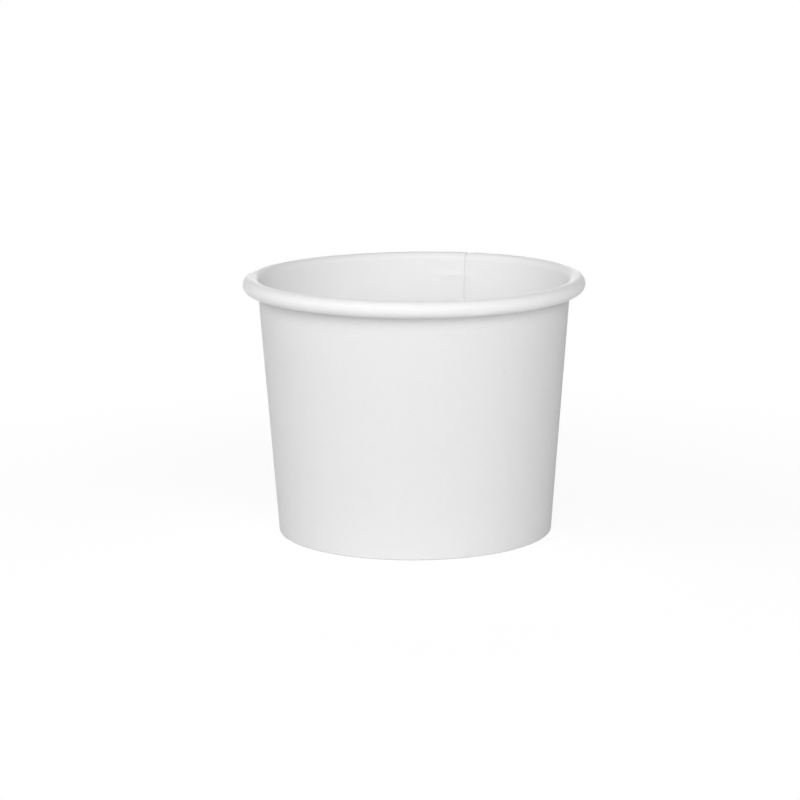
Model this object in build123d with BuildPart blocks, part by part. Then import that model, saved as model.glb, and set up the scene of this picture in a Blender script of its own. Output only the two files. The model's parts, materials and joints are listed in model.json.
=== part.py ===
from build123d import *
import os
from math import asin, atan2, cos, degrees, hypot, pi, sin, tan

# Paper sundae cup. One fan-shaped sidewall blank is wrapped into a tapered wall and lapped
# at a side seam. Its top edge is curled outwards into the rim, and its bottom edge is folded
# inwards and up over the skirt of a drawn base disc, which the fold clamps and the melted
# coating seals. The cup stands on the fold. Lengths are in millimetres and angles in degrees.
# +Z is up, and the origin is the centre of the foot, on the table.

# Overall sizes
rim_diameter = 86.0  # outside of the curled rim
foot_diameter = 69.2  # outside of the wall, carried down to the table
cup_height = 65.2  # table to the top of the rim

# Sidewall blank
wall_board = 0.40  # thickness of the board
curl_height = 4.1  # outside height of the curled rim
curl_clearance = 0.10  # tucked edge to the wall, where the seam makes the wall double

# Side seam
seam_angle = 71.5  # direction of the inner end's raw edge, from +X towards +Y
lap_width = 7.0  # overlap of the two ends, along the wall under the rim
lap_climb = 1.6  # run in which the outer end climbs over the inner end's raw edge
lap_start = 1.1  # height at which the lap begins: the folds below it are pressed flat

# Foot
seal_film = 0.02  # melted coating between two boards
fold_radius = 0.10  # inside radius of the two folds
flap_margin = 0.30  # flap's raw edge to the start of the base disc's rounded corner

# Base disc
base_board = 0.35  # thickness of the board
base_height = 6.5  # table to the top of the disc
base_corner = 0.80  # inside radius of the drawn corner

# The curl is a roll that the wall runs into as a tangent. Its lower half turns tighter, to
# tuck the raw edge up inside the roll, clear of the doubled wall at the seam.
curl_inside = curl_height / 2 - wall_board
curl_centre = Vector((rim_diameter - curl_height) / 2, cup_height - curl_height / 2)
spread = curl_centre.X - foot_diameter / 2
taper = atan2(spread, curl_centre.Y) - asin(curl_inside / hypot(spread, curl_centre.Y))
tuck_inside = (curl_inside - 2 * wall_board) / cos(taper) - curl_clearance
tuck_centre = Vector(curl_centre.X, cup_height - curl_height + wall_board + tuck_inside)

# Depths of the layers in the foot, counted in from the wall's outer face
skirt_depth = wall_board + seal_film
flap_depth = skirt_depth + base_board + seal_film
foot_depth = flap_depth + wall_board

# The flap stops short of the base disc's rounded corner, and the skirt short of the fold
corner_reach = base_corner * tan(pi / 4 + taper / 2)
flap_height = base_height - base_board - corner_reach - flap_margin
skirt_height = wall_board + fold_radius + seal_film


def wall_point(height, depth):
    """A point at a height above the table, this far in from the wall's outer face."""
    return Vector(foot_diameter / 2 + height * tan(taper) - depth / cos(taper), height)


def radial_plane(angle):
    """The upright plane through the cup's axis at this angle, its X outwards and its Y up."""
    return Plane.XZ.rotated((0, 0, angle))


def board_face(depth):
    """One face of the board, up the wall and round the curl. Gives its lowest and last points."""
    roll = curl_inside + depth
    run_in = curl_centre + roll * Vector(-cos(taper), sin(taper))
    wall = Line(wall_point(lap_start, depth), run_in)
    CenterArc(curl_centre, roll, 180 - degrees(taper), degrees(taper) - 270)
    tuck = CenterArc(tuck_centre, tuck_inside + depth, -90, -180)
    return wall @ 0, tuck @ 1


def wall_and_curl(angle, lift):
    """Section of the wall and curl at this angle, lifted off the sheet by this much."""
    with BuildSketch(radial_plane(angle)) as section:
        with BuildLine():
            outer_foot, outer_end = board_face(-lift)
            inner_foot, inner_end = board_face(wall_board - lift)
            Line(outer_foot, inner_foot)
            Line(outer_end, inner_end)
        make_face()
    return section.sketch


def flap(angle, lift):
    """Section of the turned-up flap at this angle, lifted off the sheet by this much."""
    with BuildSketch(radial_plane(angle)) as section:
        with BuildLine():
            Polyline(
                wall_point(lap_start, flap_depth + lift),
                wall_point(flap_height, flap_depth + lift),
                wall_point(flap_height, foot_depth + lift),
                wall_point(lap_start, foot_depth + lift),
                close=True,
            )
        make_face()
    return section.sketch


climb_angle = degrees(lap_climb / wall_point(cup_height - curl_height, 0).X)
lap_angle = degrees(lap_width / wall_point(cup_height - curl_height, 0).X)

# Sidewall: one sheet, from its raw edge in the curl to its raw edge behind the skirt
with BuildPart() as sidewall:
    with BuildSketch(Plane.XZ):
        with BuildLine():
            outer_foot, outer_end = board_face(0)
            inner_foot, inner_end = board_face(wall_board)
            Line(outer_end, inner_end)
            outer_fold = FilletPolyline(
                outer_foot,
                wall_point(0, 0),
                wall_point(0, foot_depth),
                wall_point(flap_height, foot_depth),
                radius=fold_radius + wall_board,
            )
            inner_fold = FilletPolyline(
                inner_foot,
                wall_point(wall_board, wall_board),
                wall_point(wall_board, flap_depth),
                wall_point(flap_height, flap_depth),
                radius=fold_radius,
            )
            Line(outer_fold @ 1, inner_fold @ 1)
        make_face()
    revolve(axis=Axis.Z)
    # the sheet is parted at the seam, where its outer end leaves the round
    with BuildSketch(radial_plane(seam_angle - climb_angle)):
        with Locations((0, lap_start)):
            Rectangle(rim_diameter, cup_height, align=Align.MIN)
    revolve(axis=Axis.Z, revolution_arc=climb_angle, mode=Mode.SUBTRACT)
    for sheet in (wall_and_curl, flap):
        # it climbs over the raw edge of the inner end, and lies sealed on it
        loft([sheet(seam_angle - climb_angle, 0), sheet(seam_angle, wall_board)], ruled=True)
        revolve(sheet(seam_angle, wall_board), axis=Axis.Z, revolution_arc=lap_angle)
sidewall.part.label = "sidewall"

# Base: a flat disc whose edge is drawn down into a skirt, held between wall and flap
with BuildPart() as base:
    with BuildSketch(Plane.XZ):
        with BuildLine():
            top = FilletPolyline(
                wall_point(skirt_height, skirt_depth),
                wall_point(base_height, skirt_depth),
                Vector(0, base_height),
                radius=base_corner + base_board,
            )
            underside = FilletPolyline(
                wall_point(skirt_height, skirt_depth + base_board),
                wall_point(base_height - base_board, skirt_depth + base_board),
                Vector(0, base_height - base_board),
                radius=base_corner,
            )
            Line(top @ 0, underside @ 0)
            Line(top @ 1, underside @ 1)
        make_face()
    revolve(axis=Axis.Z)
base.part.label = "base"

os.makedirs("parts", exist_ok=True)
for piece in (sidewall, base):
    export_step(piece.part, f"parts/{piece.part.label}.step")
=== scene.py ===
import itertools
import json
import math

import bpy
from mathutils import Matrix, Vector


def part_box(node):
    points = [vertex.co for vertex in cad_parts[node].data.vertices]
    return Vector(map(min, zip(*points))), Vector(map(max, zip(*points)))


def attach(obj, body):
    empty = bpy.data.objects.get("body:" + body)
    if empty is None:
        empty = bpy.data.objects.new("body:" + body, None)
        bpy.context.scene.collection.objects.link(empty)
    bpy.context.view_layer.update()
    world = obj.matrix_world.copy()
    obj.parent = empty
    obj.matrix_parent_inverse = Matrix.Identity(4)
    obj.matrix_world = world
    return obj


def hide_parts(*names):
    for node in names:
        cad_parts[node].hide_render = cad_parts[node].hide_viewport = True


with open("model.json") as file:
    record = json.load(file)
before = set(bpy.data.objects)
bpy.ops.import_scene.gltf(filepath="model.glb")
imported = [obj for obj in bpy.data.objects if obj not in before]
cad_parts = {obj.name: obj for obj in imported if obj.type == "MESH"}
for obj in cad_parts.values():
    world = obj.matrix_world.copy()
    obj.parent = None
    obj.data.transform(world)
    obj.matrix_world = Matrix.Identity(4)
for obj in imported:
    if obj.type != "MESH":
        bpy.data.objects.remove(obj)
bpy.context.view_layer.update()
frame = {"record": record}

# ---------------------------------------------------------------------------------------------
# Sidewall. One fan-shaped blank of white paperboard, rolled up and sealed to itself along a
# lapped side seam. Its top edge is curled outwards over a ring die, and its bottom edge is
# folded in and up behind the base's skirt, where a knurled roller presses it.
# ---------------------------------------------------------------------------------------------
MM = 0.001
rim_mount = next(m for m in frame["record"]["mounts"] if m["name"] == "rim")
RIM_RADIUS = rim_mount["dims"]["r_mm"] * MM
CURL_HEIGHT = rim_mount["dims"]["length_mm"] * MM
CUP_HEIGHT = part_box("sidewall")[1].z
FOOT_RADIUS = 34.6 * MM
BOARD = 0.40 * MM
FOLD_RADIUS = 0.10 * MM
FOOT_DEPTH = 1.19 * MM  # wall, skirt and flap, with the coating between them
FLAP_HEIGHT = 4.99 * MM
TUCK_CLEARANCE = 0.10 * MM

curl_inside = CURL_HEIGHT / 2 - BOARD
curl_centre = Vector((RIM_RADIUS - CURL_HEIGHT / 2, CUP_HEIGHT - CURL_HEIGHT / 2))
spread = curl_centre.x - FOOT_RADIUS
reach = math.hypot(spread, curl_centre.y)
taper = math.atan2(spread, curl_centre.y) - math.asin(curl_inside / reach)
tuck_inside = (curl_inside - 2 * BOARD) / math.cos(taper) - TUCK_CLEARANCE


class Section:
    """One face of a bent sheet in section: its points, the way each faces, and its crimp."""

    def __init__(self, radius, height, heading):
        self.at, self.heading = Vector((radius, height)), heading
        self.points, self.facings, self.crimps = [], [], []
        self.mark(0.0)

    def mark(self, crimp):
        """Adds a point where the section has come to. The face looks to the right of its way."""
        self.points.append((self.at.x, 0.0, self.at.y))
        self.facings.append((math.sin(self.heading), 0.0, -math.cos(self.heading)))
        self.crimps.append(crimp)

    def run(self, length, steps, crimp=0.0):
        """Goes straight on."""
        for _ in range(steps):
            self.at += length / steps * Vector((math.cos(self.heading), math.sin(self.heading)))
            self.mark(crimp)

    def bend(self, radius, turn, steps, crimp=0.0):
        """Goes round an arc, to the left for a positive turn and to the right for a negative."""
        for _ in range(steps):
            step = turn / steps
            self.heading += step / 2
            chord = 2 * radius * math.sin(abs(step) / 2)
            self.at += chord * Vector((math.cos(self.heading), math.sin(self.heading)))
            self.heading += step / 2
            self.mark(crimp)

    def make_object(self, name):
        """The section as a line of edges, with facings, crimps and lengths as attributes."""
        mesh = bpy.data.meshes.new(name)
        mesh.from_pydata(self.points, [(i, i + 1) for i in range(len(self.points) - 1)], [])
        facing = mesh.attributes.new("facing", "FLOAT_VECTOR", "POINT")
        facing.data.foreach_set("vector", [x for f in self.facings for x in f])
        crimp = mesh.attributes.new("crimp", "FLOAT", "POINT")
        crimp.data.foreach_set("value", self.crimps)
        steps = [math.dist(a, b) for a, b in zip(self.points, self.points[1:])]
        length = mesh.attributes.new("length", "FLOAT", "POINT")
        length.data.foreach_set("value", list(itertools.accumulate(steps, initial=0.0)))
        made = bpy.data.objects.new(name, mesh)
        bpy.context.scene.collection.objects.link(made)
        return made


def add_node(tree, kind, values=None, **settings):
    """Adds a node, with its settings, and its inputs as values or as links from sockets."""
    node = tree.nodes.new(kind)
    for name, value in settings.items():
        setattr(node, name, value)
    for name, value in (values or {}).items():
        if isinstance(value, bpy.types.NodeSocket):
            tree.links.new(value, node.inputs[name])
        else:
            node.inputs[name].default_value = value
    return node


def rolled_sheet_tree():
    """Rolls a sheet up round the cup's axis from its section, and gives it its thickness."""
    tree = bpy.data.node_groups.new("rolled_sheet", "GeometryNodeTree")
    sockets = tree.interface
    sockets.new_socket("Section", in_out="INPUT", socket_type="NodeSocketGeometry")
    sockets.new_socket("Columns", in_out="INPUT", socket_type="NodeSocketInt")
    for name in ("Start", "Turn", "Board", "Crimp Depth", "Crimp Count", "Rim Height", "Curl Height",
                 "Seed"):
        sockets.new_socket(name, in_out="INPUT", socket_type="NodeSocketFloat")
    # a plain sheet, with no lap, ease or clamp's mark, leaves these as they are, doing nothing
    idle = {"Lap": 0.0, "Climb": 0.01, "Seal": 0.0, "Lap Press": 0.0, "Press Height": -1.0,
            "Press Run": 0.5, "Skive": 0.0, "Skive Run": 0.01, "Rim Wave": 0.0, "Rim Wave Angle": 0.0,
            "Wall Wave": 0.0, "Curl Wave": 0.0, "Mark Height": 0.0, "Mark Angle": 0.0,
            "Mark Width": 0.01, "Mark Reach": 0.1, "Mark Depth": 0.0}
    for name, value in idle.items():
        sockets.new_socket(name, in_out="INPUT", socket_type="NodeSocketFloat").default_value = value
    for name in ("Outside", "Inside", "Edges"):
        sockets.new_socket(name, in_out="INPUT", socket_type="NodeSocketMaterial")
    sockets.new_socket("Sheet", in_out="OUTPUT", socket_type="NodeSocketGeometry")
    given = add_node(tree, "NodeGroupInput").outputs

    def maths(operation, a, b=0.0, c=0.0):
        return add_node(tree, "ShaderNodeMath", {0: a, 1: b, 2: c}, operation=operation).outputs[0]

    def smooth(value, low, high):
        """0 below low and 1 above high, with a smooth rise between."""
        return add_node(tree, "ShaderNodeMapRange", {"Value": value, "From Min": low, "From Max": high},
                        interpolation_type="SMOOTHSTEP").outputs["Result"]

    def vectors(operation, a, b=(0, 0, 0)):
        node = add_node(tree, "ShaderNodeVectorMath", {0: a, 1: b}, operation=operation)
        return node.outputs["Vector"]

    def scaled(vector, factor):
        return add_node(tree, "ShaderNodeVectorMath", {0: vector, "Scale": factor},
                        operation="SCALE").outputs["Vector"]

    def combined(x=0.0, y=0.0, z=0.0):
        return add_node(tree, "ShaderNodeCombineXYZ", {"X": x, "Y": y, "Z": z}).outputs[0]

    def attribute(name, data_type):
        node = add_node(tree, "GeometryNodeInputNamedAttribute", {"Name": name}, data_type=data_type)
        return node.outputs["Attribute"]

    def stored(geometry, name, value, data_type, domain):
        node = add_node(tree, "GeometryNodeStoreNamedAttribute",
                        {"Geometry": geometry, "Name": name, "Value": value},
                        data_type=data_type, domain=domain)
        return node.outputs["Geometry"]

    # a flat grid: each column of points takes the section's own points, in their order
    rows = add_node(tree, "GeometryNodeAttributeDomainSize", {"Geometry": given["Section"]},
                    component="MESH").outputs["Point Count"]
    grid = add_node(tree, "GeometryNodeMeshGrid", {"Vertices X": given["Columns"], "Vertices Y": rows})
    index = add_node(tree, "GeometryNodeInputIndex").outputs[0]
    row = maths("FLOORED_MODULO", index, rows)
    column = maths("FLOOR", maths("DIVIDE", index, rows))
    share_of_turn = maths("DIVIDE", column, maths("SUBTRACT", given["Columns"], 1.0))
    turn = maths("MULTIPLY", given["Turn"], share_of_turn)

    def from_section(value, data_type):
        return add_node(tree, "GeometryNodeSampleIndex",
                        {"Geometry": given["Section"], "Value": value, "Index": row},
                        data_type=data_type).outputs["Value"]

    point = from_section(add_node(tree, "GeometryNodeInputPosition").outputs[0], "FLOAT_VECTOR")
    facing = from_section(attribute("facing", "FLOAT_VECTOR"), "FLOAT_VECTOR")
    crimp = from_section(attribute("crimp", "FLOAT"), "FLOAT")
    height = add_node(tree, "ShaderNodeSeparateXYZ", {0: point}).outputs["Z"]

    # each end of the lap: the outer one climbs over the inner one's raw edge
    full_turn = 2 * math.pi
    lapped = maths("GREATER_THAN", given["Lap"], 0.0)
    outer_end = smooth(turn, maths("SUBTRACT", full_turn, given["Climb"]), full_turn)
    outer_end = maths("MULTIPLY", outer_end, lapped)
    past_lap = smooth(turn, given["Lap"], maths("ADD", given["Lap"], given["Climb"]))
    inner_end = maths("MULTIPLY", maths("SUBTRACT", 1.0, past_lap), lapped)

    # both ends are pressed thinner, to one board's thickness at the foot, the inner end's raw
    # edge is skived, and the roller dents the foot
    press = maths("SUBTRACT", 1.0, smooth(height, given["Press Height"],
                                          maths("ADD", given["Press Height"], given["Press Run"])))
    press = maths("MAXIMUM", press, given["Lap Press"])
    skive = maths("SUBTRACT", 1.0, smooth(turn, 0.0, given["Skive Run"]))
    skive = maths("MULTIPLY", maths("MULTIPLY", skive, given["Skive"]), given["Board"])
    ridge = maths("COSINE", maths("MULTIPLY", turn, given["Crimp Count"]))
    dent = maths("MULTIPLY", maths("MULTIPLY", crimp, given["Crimp Depth"]),
                 maths("MULTIPLY_ADD", ridge, 0.5, 0.5))
    lifted = maths("MULTIPLY", maths("MULTIPLY", outer_end, maths("SUBTRACT", 1.0, press)),
                   maths("ADD", given["Board"], given["Seal"]))
    half_board = maths("MULTIPLY", given["Board"], 0.5)
    sunk = maths("MULTIPLY", maths("MULTIPLY", inner_end, press), half_board)
    lift = maths("SUBTRACT", maths("SUBTRACT", lifted, sunk), dent)
    thinned = maths("MULTIPLY", maths("MULTIPLY", maths("ADD", outer_end, inner_end), press), 0.5)
    thickness = maths("MULTIPLY", given["Board"], maths("SUBTRACT", 1.0, thinned))
    thickness = maths("SUBTRACT", maths("SUBTRACT", thickness, dent), skive)

    # round the axis
    to_angle = combined(z=maths("ADD", turn, given["Start"]))

    def turned(vector):
        return add_node(tree, "ShaderNodeVectorRotate", {"Vector": vector, "Rotation": to_angle},
                        rotation_type="EULER_XYZ").outputs[0]

    place = turned(vectors("ADD", point, scaled(facing, lift)))
    wound = add_node(tree, "GeometryNodeSetPosition", {"Geometry": grid.outputs["Mesh"], "Position": place})
    inward = scaled(turned(facing), maths("MULTIPLY", thickness, -1.0))
    sheet = stored(wound.outputs[0], "inward", inward, "FLOAT_VECTOR", "POINT")

    # the place on the flat sheet in millimetres, for the fibres
    across = maths("MULTIPLY", turn, FOOT_RADIUS / MM)
    along = maths("MULTIPLY", from_section(attribute("length", "FLOAT"), "FLOAT"), 1 / MM)
    sheet = stored(sheet, "flat", combined(across, along), "FLOAT_VECTOR", "POINT")
    sheet = stored(sheet, "sheet", attribute("flat", "FLOAT_VECTOR"), "FLOAT2", "CORNER")
    weld = 0.002 * MM
    closed = add_node(tree, "GeometryNodeMergeByDistance", {"Geometry": sheet, "Distance": weld})

    # thickness: the far face is pushed off the near one, and the cut edges close the sides
    pushed = add_node(tree, "GeometryNodeExtrudeMesh", {"Mesh": closed.outputs[0], "Offset Scale": 0.0,
                                                        "Individual": False}, mode="FACES")
    far = add_node(tree, "GeometryNodeSetPosition",
                   {"Geometry": pushed.outputs["Mesh"], "Selection": pushed.outputs["Top"],
                    "Offset": attribute("inward", "FLOAT_VECTOR")})
    far = stored(far.outputs[0], "cut_edge", pushed.outputs["Side"], "BOOLEAN", "FACE")
    far = stored(far, "far_face", pushed.outputs["Top"], "BOOLEAN", "FACE")
    smoothed = add_node(tree, "GeometryNodeSetShadeSmooth", {"Geometry": far, "Shade Smooth": True})
    crisp = add_node(tree, "GeometryNodeSetShadeSmooth", {"Geometry": smoothed.outputs[0],
                                                          "Selection": pushed.outputs["Side"],
                                                          "Shade Smooth": False})
    far_side = add_node(tree, "GeometryNodeFlipFaces", {"Mesh": crisp.outputs[0]})
    near = add_node(tree, "GeometryNodeSetShadeSmooth", {"Geometry": closed.outputs[0],
                                                         "Shade Smooth": True})
    joined = add_node(tree, "GeometryNodeJoinGeometry")
    tree.links.new(far_side.outputs[0], joined.inputs[0])
    tree.links.new(near.outputs[0], joined.inputs[0])
    welded = add_node(tree, "GeometryNodeMergeByDistance", {"Geometry": joined.outputs[0], "Distance": weld})

    # ease: the rim waves up and down a little, twice in a turn
    place = add_node(tree, "GeometryNodeInputPosition").outputs[0]
    axes = add_node(tree, "ShaderNodeSeparateXYZ", {0: place}).outputs
    share = maths("DIVIDE", axes["Z"], given["Rim Height"])
    bearing = maths("ARCTAN2", axes["Y"], axes["X"])
    wave = maths("COSINE", maths("MULTIPLY", maths("SUBTRACT", bearing, given["Rim Wave Angle"]), 2.0))
    rise = maths("MULTIPLY", maths("MULTIPLY", wave, given["Rim Wave"]), maths("MULTIPLY", share, share))

    def unevenness(round_scale, level, detail):
        """Noise about 0 that meets itself round the cup, on a circle of this many clouds."""
        where = combined(maths("MULTIPLY", maths("COSINE", bearing), round_scale),
                         maths("MULTIPLY", maths("SINE", bearing), round_scale), level)
        noise = add_node(tree, "ShaderNodeTexNoise", {"Vector": where, "Scale": 1.0, "Detail": detail})
        return maths("SUBTRACT", noise.outputs["Fac"], 0.5)

    # the wall swells along a parabola: not at the foot, most at half its height, and little at
    # the rim, because the parabola ends a little past it
    swell = unevenness(1.6, maths("MULTIPLY_ADD", share, 0.8, given["Seed"]), detail=2.0)
    free = maths("MULTIPLY", maths("MULTIPLY", share, maths("SUBTRACT", 1.15, share)), 4.0)
    bulge = maths("MULTIPLY", maths("MULTIPLY", swell, given["Wall Wave"]), free)

    # the curl is uneven in shorter waves, which start in the lowest part of its height
    starting_share = 0.4
    clouds_up = 0.35 / MM
    curl_foot = maths("SUBTRACT", given["Rim Height"], given["Curl Height"])
    in_curl = smooth(axes["Z"], curl_foot,
                     maths("MULTIPLY_ADD", given["Curl Height"], starting_share, curl_foot))
    uneven = unevenness(7.0, maths("MULTIPLY_ADD", axes["Z"], clouds_up, given["Seed"]), detail=1.0)
    uneven = maths("MULTIPLY", uneven, given["Curl Wave"])
    bulge = maths("MULTIPLY_ADD", uneven, in_curl, bulge)

    # the seam's clamp has left a shallow groove, which fades out from its middle third
    off_level = maths("ABSOLUTE", maths("SUBTRACT", axes["Z"], given["Mark Height"]))
    off_bearing = maths("ABSOLUTE", maths("SUBTRACT", bearing, given["Mark Angle"]))
    near_level = maths("SUBTRACT", 1.0, smooth(off_level, 0.0, given["Mark Width"]))
    middle = maths("MULTIPLY", given["Mark Reach"], 0.3)
    near_bearing = maths("SUBTRACT", 1.0, smooth(off_bearing, middle, given["Mark Reach"]))
    groove = maths("MULTIPLY", near_level, near_bearing)
    bulge = maths("SUBTRACT", bulge, maths("MULTIPLY", groove, given["Mark Depth"]))
    outwards = vectors("NORMALIZE", vectors("MULTIPLY", place, (1, 1, 0)))
    ease = vectors("ADD", scaled(outwards, bulge), combined(z=rise))
    eased = add_node(tree, "GeometryNodeSetPosition", {"Geometry": welded.outputs[0], "Offset": ease})

    # near face, far face and cut edges, each with its own finish
    real = add_node(tree, "GeometryNodeRealizeInstances", {"Geometry": eased.outputs[0]})
    coated = add_node(tree, "GeometryNodeSetMaterial", {"Geometry": real.outputs[0],
                                                        "Material": given["Outside"]})
    lined = add_node(tree, "GeometryNodeSetMaterial", {"Geometry": coated.outputs[0],
                                                       "Selection": attribute("far_face", "BOOLEAN"),
                                                       "Material": given["Inside"]})
    edged = add_node(tree, "GeometryNodeSetMaterial", {"Geometry": lined.outputs[0],
                                                       "Selection": attribute("cut_edge", "BOOLEAN"),
                                                       "Material": given["Edges"]})
    add_node(tree, "NodeGroupOutput", {"Sheet": edged.outputs[0]})
    return tree


ROLLED_SHEET = rolled_sheet_tree()


def roll_up(section, name, **sizes):
    """Runs the tree on a section, and gives the sheet as a plain mesh."""
    piece = section.make_object(name)
    modifier = piece.modifiers.new("rolled_sheet", "NODES")
    modifier.node_group = ROLLED_SHEET
    sockets = {s.name: s.identifier for s in ROLLED_SHEET.interface.items_tree if s.in_out == "INPUT"}
    for size, value in sizes.items():
        modifier[sockets[size.replace("_", " ").title()]] = value
    shown = piece.evaluated_get(bpy.context.evaluated_depsgraph_get())
    plain = bpy.data.meshes.new_from_object(shown)
    plain.materials.pop(index=0)  # the grid's own slot, which is empty
    for marker in ("inward", "flat", "cut_edge", "far_face"):
        plain.attributes.remove(plain.attributes[marker])
    piece.modifiers.clear()
    piece.data = plain
    return piece


def board_fibre_group():
    """Fibres of the board along the sheet: a cloud of tone, a relief and a change of gloss."""
    group = bpy.data.node_groups.new("board_fibre", "ShaderNodeTree")
    sockets = group.interface
    for name in ("Tone", "Mottle", "Streaks", "Roughness", "Roughness Spread"):
        sockets.new_socket(name, in_out="INPUT", socket_type="NodeSocketFloat")
    sockets.new_socket("Color", in_out="OUTPUT", socket_type="NodeSocketColor")
    sockets.new_socket("Roughness", in_out="OUTPUT", socket_type="NodeSocketFloat")
    sockets.new_socket("Height", in_out="OUTPUT", socket_type="NodeSocketFloat")
    given = add_node(group, "NodeGroupInput").outputs
    sheet = add_node(group, "ShaderNodeUVMap", uv_map="sheet").outputs["UV"]

    def maths(operation, a, b=0.0, c=0.0):
        return add_node(group, "ShaderNodeMath", {0: a, 1: b, 2: c}, operation=operation).outputs[0]

    def cloud(across, along, detail, roughness=0.5):
        """Noise about 0, in this many clouds to a millimetre across and along the sheet."""
        place = add_node(group, "ShaderNodeMapping", {"Vector": sheet, "Scale": (across, along, 1.0)})
        noise = add_node(group, "ShaderNodeTexNoise", {"Vector": place.outputs[0], "Scale": 1.0,
                                                       "Detail": detail, "Roughness": roughness})
        return maths("SUBTRACT", noise.outputs["Fac"], 0.5)

    fibres = maths("ADD", cloud(2.6, 2.1, 4.0, 0.7), cloud(1.0, 1.4, 3.0, 0.6))
    formation = cloud(0.35, 0.3, 3.0)
    streaks = cloud(0.16, 0.012, 2.0)
    grain = maths("MULTIPLY_ADD", formation, 0.5, fibres)
    tone = maths("MULTIPLY_ADD", grain, given["Mottle"], given["Tone"])
    # only the highest peaks of this cloud are specks, with a soft edge
    specks = add_node(group, "ShaderNodeMapRange", {"Value": cloud(0.9, 0.7, 1.0), "From Min": 0.22,
                                                    "From Max": 0.27}).outputs["Result"]
    tone = maths("MULTIPLY_ADD", specks, maths("MULTIPLY", given["Mottle"], -1.0), tone)
    tone = maths("MULTIPLY_ADD", streaks, given["Streaks"], tone)
    # bleached board is a shade cooler where its fibres lie closer
    coolness = 0.012
    cool = maths("MULTIPLY_ADD", formation, coolness, tone)
    colour = add_node(group, "ShaderNodeCombineColor", {"Red": tone, "Green": tone, "Blue": cool})
    rough = maths("MULTIPLY_ADD", formation, given["Roughness Spread"], given["Roughness"])
    add_node(group, "NodeGroupOutput",
             {"Color": colour.outputs[0], "Roughness": rough, "Height": grain})
    return group


BOARD_FIBRE = board_fibre_group()


def board_material(name, relief, coat=0.0, coat_roughness=0.3, specular=0.5, **looks):
    """White board with the fibre group in it. Relief is how far the fibres stand up, in metres."""
    material = bpy.data.materials.new(name)
    material.use_nodes = True
    tree = material.node_tree
    tree.nodes.clear()
    fibre = add_node(tree, "ShaderNodeGroup", node_tree=BOARD_FIBRE)
    for look, value in looks.items():
        fibre.inputs[look.replace("_", " ").title()].default_value = value
    bump = add_node(tree, "ShaderNodeBump", {"Height": fibre.outputs["Height"], "Distance": relief,
                                             "Strength": 1.0})
    surface = add_node(tree, "ShaderNodeBsdfPrincipled", {
        "Base Color": fibre.outputs["Color"], "Roughness": fibre.outputs["Roughness"],
        "Normal": bump.outputs["Normal"], "IOR": 1.5, "Specular IOR Level": specular,
        "Coat Weight": coat, "Coat Roughness": coat_roughness})
    add_node(tree, "ShaderNodeOutputMaterial", {"Surface": surface.outputs["BSDF"]})
    return material


first_fold = math.pi / 2 + taper
second_fold = math.pi / 2 - taper
fold_outside = FOLD_RADIUS + BOARD
flap_run = FLAP_HEIGHT / math.cos(taper) - fold_outside * math.tan(first_fold / 2)
folds_share = math.tan(first_fold / 2) + math.tan(second_fold / 2)
foot_run = FOOT_DEPTH / math.cos(taper) - fold_outside * folds_share
wall_run = math.sqrt(reach**2 - curl_inside**2) - fold_outside * math.tan(second_fold / 2)
flap_radius = FOOT_RADIUS + FLAP_HEIGHT * math.tan(taper) - FOOT_DEPTH / math.cos(taper)

PLAIN_SHARE = 0.15  # of the flap at each of its ends, which the knurled roller misses
MARKED_RUN = 6.5 * MM  # under the curl, with closer points for the clamp's mark
wall_section = Section(flap_radius, FLAP_HEIGHT, heading=-math.pi / 2 - taper)
wall_section.run(PLAIN_SHARE * flap_run, steps=1)
wall_section.run((1 - 2 * PLAIN_SHARE) * flap_run, steps=3, crimp=1.0)
wall_section.run(PLAIN_SHARE * flap_run, steps=1)
wall_section.bend(fold_outside, first_fold, steps=6)
wall_section.run(foot_run, steps=1)
wall_section.bend(fold_outside, second_fold, steps=6)
wall_section.run(wall_run - MARKED_RUN, steps=13)
wall_section.run(MARKED_RUN, steps=9)
wall_section.bend(curl_inside, taper - 1.5 * math.pi, steps=22)
wall_section.bend(tuck_inside, -math.pi, steps=8)

SEAM_ANGLE = math.radians(70.0)  # the inner end's raw edge, from +X towards +Y
LAP = math.radians(9.6)
CLIMB = math.radians(2.8)
WALL_COLUMNS = 701
KNURL_COLUMNS = 4  # from one ridge of the roller's knurl to the next
wall_turn = 2 * math.pi + LAP
knurl_count = (WALL_COLUMNS - 1) / KNURL_COLUMNS * 2 * math.pi / wall_turn
BARE_LOOKS = {"relief": 0.012 * MM, "specular": 0.1, "tone": 0.80, "mottle": 0.036,
              "streaks": 0.006, "roughness": 0.8, "roughness_spread": 0.15}
COATED_LOOKS = {"relief": 0.008 * MM, "specular": 0.2, "coat": 0.06, "coat_roughness": 0.3,
                "mottle": 0.02, "streaks": 0.006, "roughness": 0.6, "roughness_spread": 0.12}
bare_outside = board_material("bare_board", **BARE_LOOKS)
coated_inside = board_material("coated_board", tone=0.885, **COATED_LOOKS)
wall_edges = board_material("cut_edge", relief=0.03 * MM, specular=0.1, tone=0.68, mottle=0.1,
                            streaks=0.0, roughness=0.9, roughness_spread=0.1)
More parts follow.
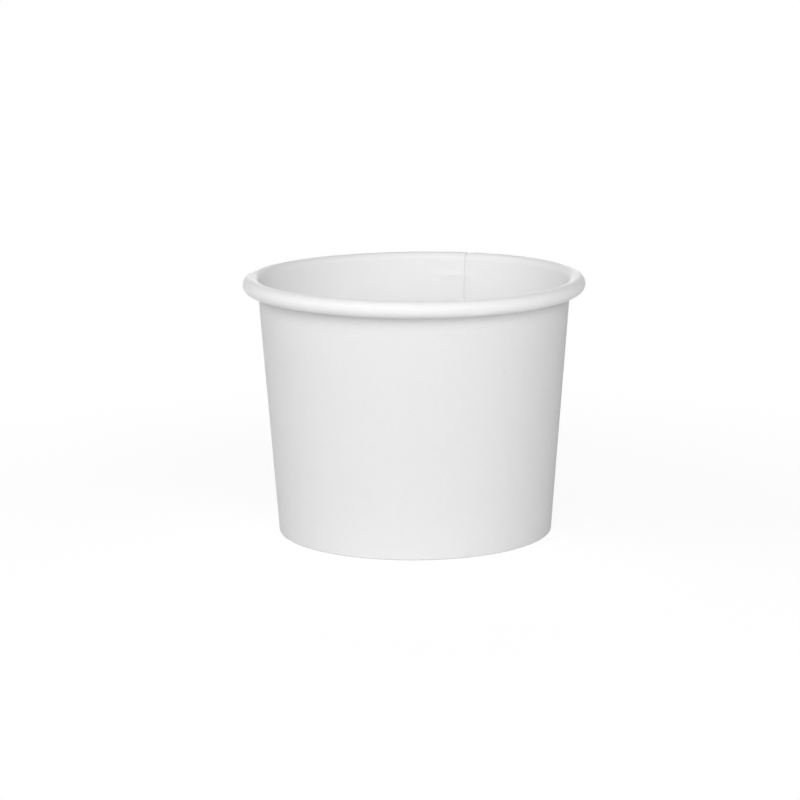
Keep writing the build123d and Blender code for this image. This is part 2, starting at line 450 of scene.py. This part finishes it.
sidewall = roll_up(wall_section, "sidewall_board",
                   columns=WALL_COLUMNS, start=SEAM_ANGLE, turn=wall_turn, board=BOARD, seal=0.01 * MM,
                   climb=CLIMB, lap=LAP, lap_press=0.5, skive=0.4, skive_run=math.radians(0.5),
                   press_height=0.8 * MM, press_run=0.8 * MM,
                   crimp_depth=0.07 * MM, crimp_count=knurl_count,
                   rim_height=CUP_HEIGHT, rim_wave=0.17 * MM, rim_wave_angle=math.radians(31),
                   wall_wave=0.25 * MM, curl_height=CURL_HEIGHT, curl_wave=0.12 * MM,
                   mark_height=59.3 * MM, mark_angle=math.radians(73), mark_width=1.0 * MM,
                   mark_reach=math.radians(11), mark_depth=0.24 * MM, seed=3.0,
                   outside=bare_outside, inside=coated_inside, edges=wall_edges)
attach(sidewall, "root")
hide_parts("sidewall")


# ---------------------------------------------------------------------------------------------
# Base. A round blank of thinner board, coated on its upper side, whose edge is drawn down into
# a skirt. The skirt is sealed between the wall and the flap, and drawing it leaves fine pleats
# in its corner.
# ---------------------------------------------------------------------------------------------
BASE_BOARD = 0.35 * MM
BASE_CORNER = 0.80 * MM
SEAL = 0.02 * MM
PLEATED_RUN = 1.6 * MM  # of the disc inside its corner, over which the pleats fade out
FADING_STEPS = 3
BASE_COLUMNS = 541
base_low, base_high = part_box("base")
skirt_depth = (BOARD + SEAL) / math.cos(taper)
skirt_edge = FOOT_RADIUS + base_low.z * math.tan(taper) - skirt_depth
corner_turn = math.pi / 2 + taper
corner_outside = BASE_CORNER + BASE_BOARD
skirt_run = (base_high.z - base_low.z) / math.cos(taper) - corner_outside * math.tan(corner_turn / 2)

base_section = Section(skirt_edge, base_low.z, heading=math.pi / 2 - taper)
base_section.run(skirt_run, steps=4)
base_section.bend(corner_outside, corner_turn, steps=10, crimp=1.0)
for step in range(1, FADING_STEPS + 1):
    base_section.run(PLEATED_RUN / FADING_STEPS, steps=1, crimp=1.0 - step / FADING_STEPS)
base_section.run(base_section.at.x, steps=12)

coated_top = board_material("coated_base", tone=0.88, **COATED_LOOKS)
bare_underside = board_material("bare_base", **BARE_LOOKS)
base = roll_up(base_section, "base_board",
               columns=BASE_COLUMNS, start=0.0, turn=2 * math.pi, board=BASE_BOARD,
               crimp_depth=0.05 * MM, crimp_count=90.0,
               rim_height=CUP_HEIGHT, curl_height=CURL_HEIGHT, seed=5.0,
               outside=coated_top, inside=bare_underside, edges=wall_edges)
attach(base, "root")
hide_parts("base")


# ---------------------------------------------------------------------------------------------
# Stage. A white floor that the cup stands on, soft boxes all round it, a narrow lamp above it
# and a long lens a little above the rim.
# ---------------------------------------------------------------------------------------------
FLOOR_TONE = 0.88
SHADOW_TONE = 0.16  # of the floor that is seen near the cup, whose glow hides most of a shadow
FLOOR_GLOW = 0.88
TABLE_LIGHT = 0.85
SHADOW_REACH = 110 * MM
STAGE_SIDE = 4.0
WHITE = (1.0, 1.0, 1.0, 1.0)


def seen_directly(tree):
    """1 for what the camera sees, straight or in a gloss or through glass, and 0 for the light."""
    path = add_node(tree, "ShaderNodeLightPath").outputs
    seen = add_node(tree, "ShaderNodeMath", {0: path["Is Camera Ray"], 1: path["Is Glossy Ray"]},
                    operation="MAXIMUM").outputs[0]
    return add_node(tree, "ShaderNodeMath", {0: seen, 1: path["Is Transmission Ray"]},
                    operation="MAXIMUM").outputs[0]


def white_stage_material():
    """White to the camera and in reflections, with the cup's shadow left on it."""
    material = bpy.data.materials.new("white_stage")
    material.use_nodes = True
    tree = material.node_tree
    tree.nodes.clear()

    def grey_paper(tone):
        return add_node(tree, "ShaderNodeBsdfDiffuse", {"Color": (tone, tone, tone, 1.0)}).outputs[0]

    def lit(strength):
        return add_node(tree, "ShaderNodeEmission", {"Color": WHITE, "Strength": strength}).outputs[0]

    def mixed(factor, low, high):
        return add_node(tree, "ShaderNodeMixShader", {0: factor, 1: low, 2: high}).outputs[0]

    # near the cup the seen floor takes its shadow, and further off it is plain white
    place = add_node(tree, "ShaderNodeTexCoord").outputs["Object"]
    away = add_node(tree, "ShaderNodeVectorMath", {0: place}, operation="LENGTH").outputs["Value"]
    far = add_node(tree, "ShaderNodeMapRange", {"Value": away, "From Min": 0.6 * SHADOW_REACH,
                                                "From Max": 2 * SHADOW_REACH},
                   interpolation_type="SMOOTHSTEP").outputs["Result"]
    shadowed = add_node(tree, "ShaderNodeAddShader", {0: grey_paper(SHADOW_TONE), 1: lit(FLOOR_GLOW)})
    seen_floor = mixed(far, shadowed.outputs[0], lit(1.0))
    # the light falls on white paper, and under the cup, where only its underside sees it, the
    # floor is a light table
    open_floor = add_node(tree, "ShaderNodeMapRange", {"Value": away, "From Min": FOOT_RADIUS - 0.8 * MM,
                                                       "From Max": FOOT_RADIUS - 0.3 * MM})
    lit_floor = mixed(open_floor.outputs["Result"], lit(TABLE_LIGHT), grey_paper(FLOOR_TONE))
    shown = mixed(seen_directly(tree), lit_floor, seen_floor)
    # from below, the floor isn't there
    below = add_node(tree, "ShaderNodeNewGeometry").outputs["Backfacing"]
    clear = add_node(tree, "ShaderNodeBsdfTransparent").outputs[0]
    add_node(tree, "ShaderNodeOutputMaterial", {"Surface": mixed(below, shown, clear)})
    return material


half = STAGE_SIDE / 2
stage_mesh = bpy.data.meshes.new("stage_floor")
stage_mesh.from_pydata([(-half, -half, 0), (half, -half, 0), (half, half, 0), (-half, half, 0)], [],
                       [(0, 1, 2, 3)])
stage_mesh.materials.append(white_stage_material())
floor = bpy.data.objects.new("stage_floor", stage_mesh)
bpy.context.scene.collection.objects.link(floor)

world = bpy.data.worlds.new("soft_room")
bpy.context.scene.world = world
world.use_nodes = True
tree = world.node_tree
tree.nodes.clear()
ROOM_LIGHT = 0.10
room = add_node(tree, "ShaderNodeBackground", {"Color": WHITE, "Strength": ROOM_LIGHT})
backdrop = add_node(tree, "ShaderNodeBackground", {"Color": WHITE, "Strength": 1.0})
shown = add_node(tree, "ShaderNodeMixShader", {0: seen_directly(tree), 1: room.outputs[0],
                                               2: backdrop.outputs[0]})
add_node(tree, "ShaderNodeOutputWorld", {"Surface": shown.outputs[0]})


def soft_lamp(name, azimuth, elevation, power, size=0.8, distance=1.2):
    """A square soft box aimed at the cup. Azimuth 0 is in front, and 90 to the right."""
    data = bpy.data.lights.new(name, "AREA")
    data.shape = "SQUARE"
    data.size = size
    data.energy = power
    lamp = bpy.data.objects.new(name, data)
    bpy.context.scene.collection.objects.link(lamp)
    a, e = math.radians(azimuth), math.radians(elevation)
    toward = Vector((math.sin(a) * math.cos(e), -math.cos(a) * math.cos(e), math.sin(e)))
    lamp.location = Vector((0, 0, CUP_HEIGHT / 2)) + distance * toward
    lamp.rotation_euler = toward.to_track_quat("Z", "Y").to_euler()


soft_lamp("key", azimuth=12, elevation=25, power=7.1)
soft_lamp("front_left", azimuth=-28, elevation=36, power=3.7)
soft_lamp("left", azimuth=-83, elevation=28, power=4.1)
soft_lamp("right", azimuth=58, elevation=30, power=2.1)
soft_lamp("back", azimuth=180, elevation=3, power=5.5, size=0.5)

# straight above, with a beam so narrow that it falls inside the rim, on the base
beam = bpy.data.lights.new("inside", "SPOT")
beam.energy = 5.0
beam.spot_size = math.radians(4.8)
beam.spot_blend = 0.35
beam.shadow_soft_size = 0.01
inside_lamp = bpy.data.objects.new("inside", beam)
inside_lamp.location = (0.0, 0.0, 0.9)
bpy.context.scene.collection.objects.link(inside_lamp)

VIEW_DOWN = math.radians(11.28)
VIEW_DISTANCE = 17.08 * RIM_RADIUS
VIEW_ROLL = -0.0052
AIM_HEIGHT = 0.75 * RIM_RADIUS
camera = bpy.data.objects.new("camera", bpy.data.cameras.new("camera"))
camera.data.lens = 130.4
camera.data.sensor_width = 36.0
camera.data.shift_x = -0.01838
camera.data.shift_y = 0.00416
away_from_cup = Vector((0.0, -math.cos(VIEW_DOWN), math.sin(VIEW_DOWN)))
camera.location = Vector((0.0, 0.0, AIM_HEIGHT)) + VIEW_DISTANCE * away_from_cup
turned_down = Matrix.Rotation(math.pi / 2 - VIEW_DOWN, 3, "X") @ Matrix.Rotation(VIEW_ROLL, 3, "Z")
camera.rotation_euler = turned_down.to_euler()
bpy.context.scene.collection.objects.link(camera)
bpy.context.scene.camera = camera
bpy.context.scene.view_settings.view_transform = "Standard"
